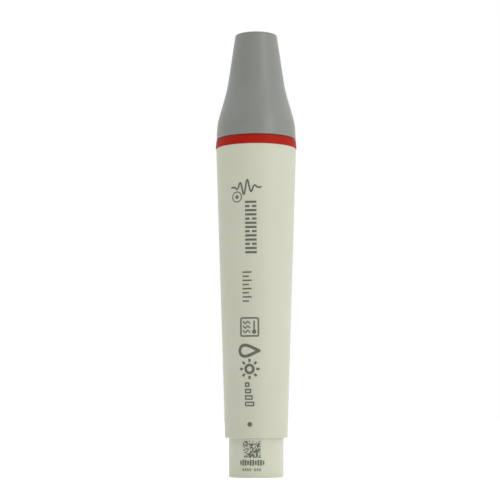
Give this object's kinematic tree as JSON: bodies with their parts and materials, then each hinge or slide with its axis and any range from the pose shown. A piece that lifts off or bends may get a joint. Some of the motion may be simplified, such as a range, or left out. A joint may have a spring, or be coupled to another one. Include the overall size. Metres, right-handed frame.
{
  "type": "ultrasonic scaler handpiece",
  "caption": "Slim tapered ultrasonic scaler handpiece with a pale casing, red seal ring, grey screw-on nose cap, ring lamp, light pipe and threaded horn; no tip, no hose.",
  "frame": {"origin": "centre of the rear end face, on which the handpiece stands", "axes": "+Z along the handpiece towards the nose; -Y through the alignment dot and the key groove"},
  "size_m": [0.0186, 0.0186, 0.101],
  "materials": {
    "casing": "moulded, fine satin texture",
    "spigot": "moulded, fine satin texture",
    "stainless": "fine turned",
    "contact_gold": "gold plated",
    "insulator": "moulded",
    "nitrile": "smooth",
    "hose_silicone": "smooth, milky",
    "piezo_ceramic": "fired, lapped faces",
    "electrode_brass": "thin sheet",
    "bolt_insulation": "smooth",
    "titanium": "fine turned",
    "lamp_body": "moulded",
    "lamp_laminate": "solder mask",
    "led_lens": "clear over phosphor",
    "drive_lead": "smooth",
    "ground_lead": "smooth",
    "lamp_lead": "smooth",
    "clear_pipe": "polished clear plastic",
    "ring_silicone": "satin",
    "cap_plastic": "satin"
  },
  "bodies": {
    "handpiece": {"back_mass": "stainless", "bolt_sleeve": "bolt_insulation", "clamp_bolt": "stainless", "contact_block": "insulator", "contact_socket_1": "contact_gold", "contact_socket_2": "contact_gold", "contact_socket_3": "contact_gold", "contact_socket_4": "contact_gold", "drive_wire": "drive_lead", "electrode_1": "electrode_brass", "electrode_2": "electrode_brass", "electrode_3": "electrode_brass", "electrode_4": "electrode_brass", "flange_seal_front": "nitrile", "flange_seal_rear": "nitrile", "front_sleeve": "stainless", "ground_wire": "ground_lead", "horn": "titanium", "horn_seal": "nitrile", "hose_nipple": "stainless", "housing": "casing", "inlet_seal": "nitrile", "lamp_board": "lamp_laminate", "lamp_holder": "lamp_body", "lamp_pins": "contact_gold", "lamp_socket": "insulator", "lamp_wire_1": "lamp_lead", "lamp_wire_2": "lamp_lead", "led_chips": "led_lens", "piezo_ring_1": "piezo_ceramic", "piezo_ring_2": "piezo_ceramic", "piezo_ring_3": "piezo_ceramic", "piezo_ring_4": "piezo_ceramic", "rear_spigot": "spigot", "water_hose": "hose_silicone", "water_inlet": "stainless"},
    "seal_ring": {"seal_ring": "ring_silicone"},
    "nose_cap": {"nose_cap": "cap_plastic", "cap_insert": "stainless"},
    "light_pipe": {"light_pipe": "clear_pipe"}
  },
  "joints": [
    {"name": "ring_rise", "type": "slide", "parent": "handpiece", "child": "seal_ring", "axis": [0, 0, 1], "range_m": [0, 0.028]},
    {"name": "cap_turn", "type": "hinge", "parent": "seal_ring", "child": "nose_cap", "pos_m": [0, 0, 0.07663], "axis": [0, 0, 1], "range_deg": [0, 2520]},
    {"name": "pipe_lift", "type": "slide", "parent": "handpiece", "child": "light_pipe", "axis": [0, 0, 1], "range_m": [0, 0.0168]}
  ],
  "couplings": [
    {"joint": "ring_rise", "follows": "cap_turn", "m_per_rad": 0.00063662},
    {"joint": "pipe_lift", "follows": "cap_turn", "m_per_rad": 0.00038197}
  ]
}
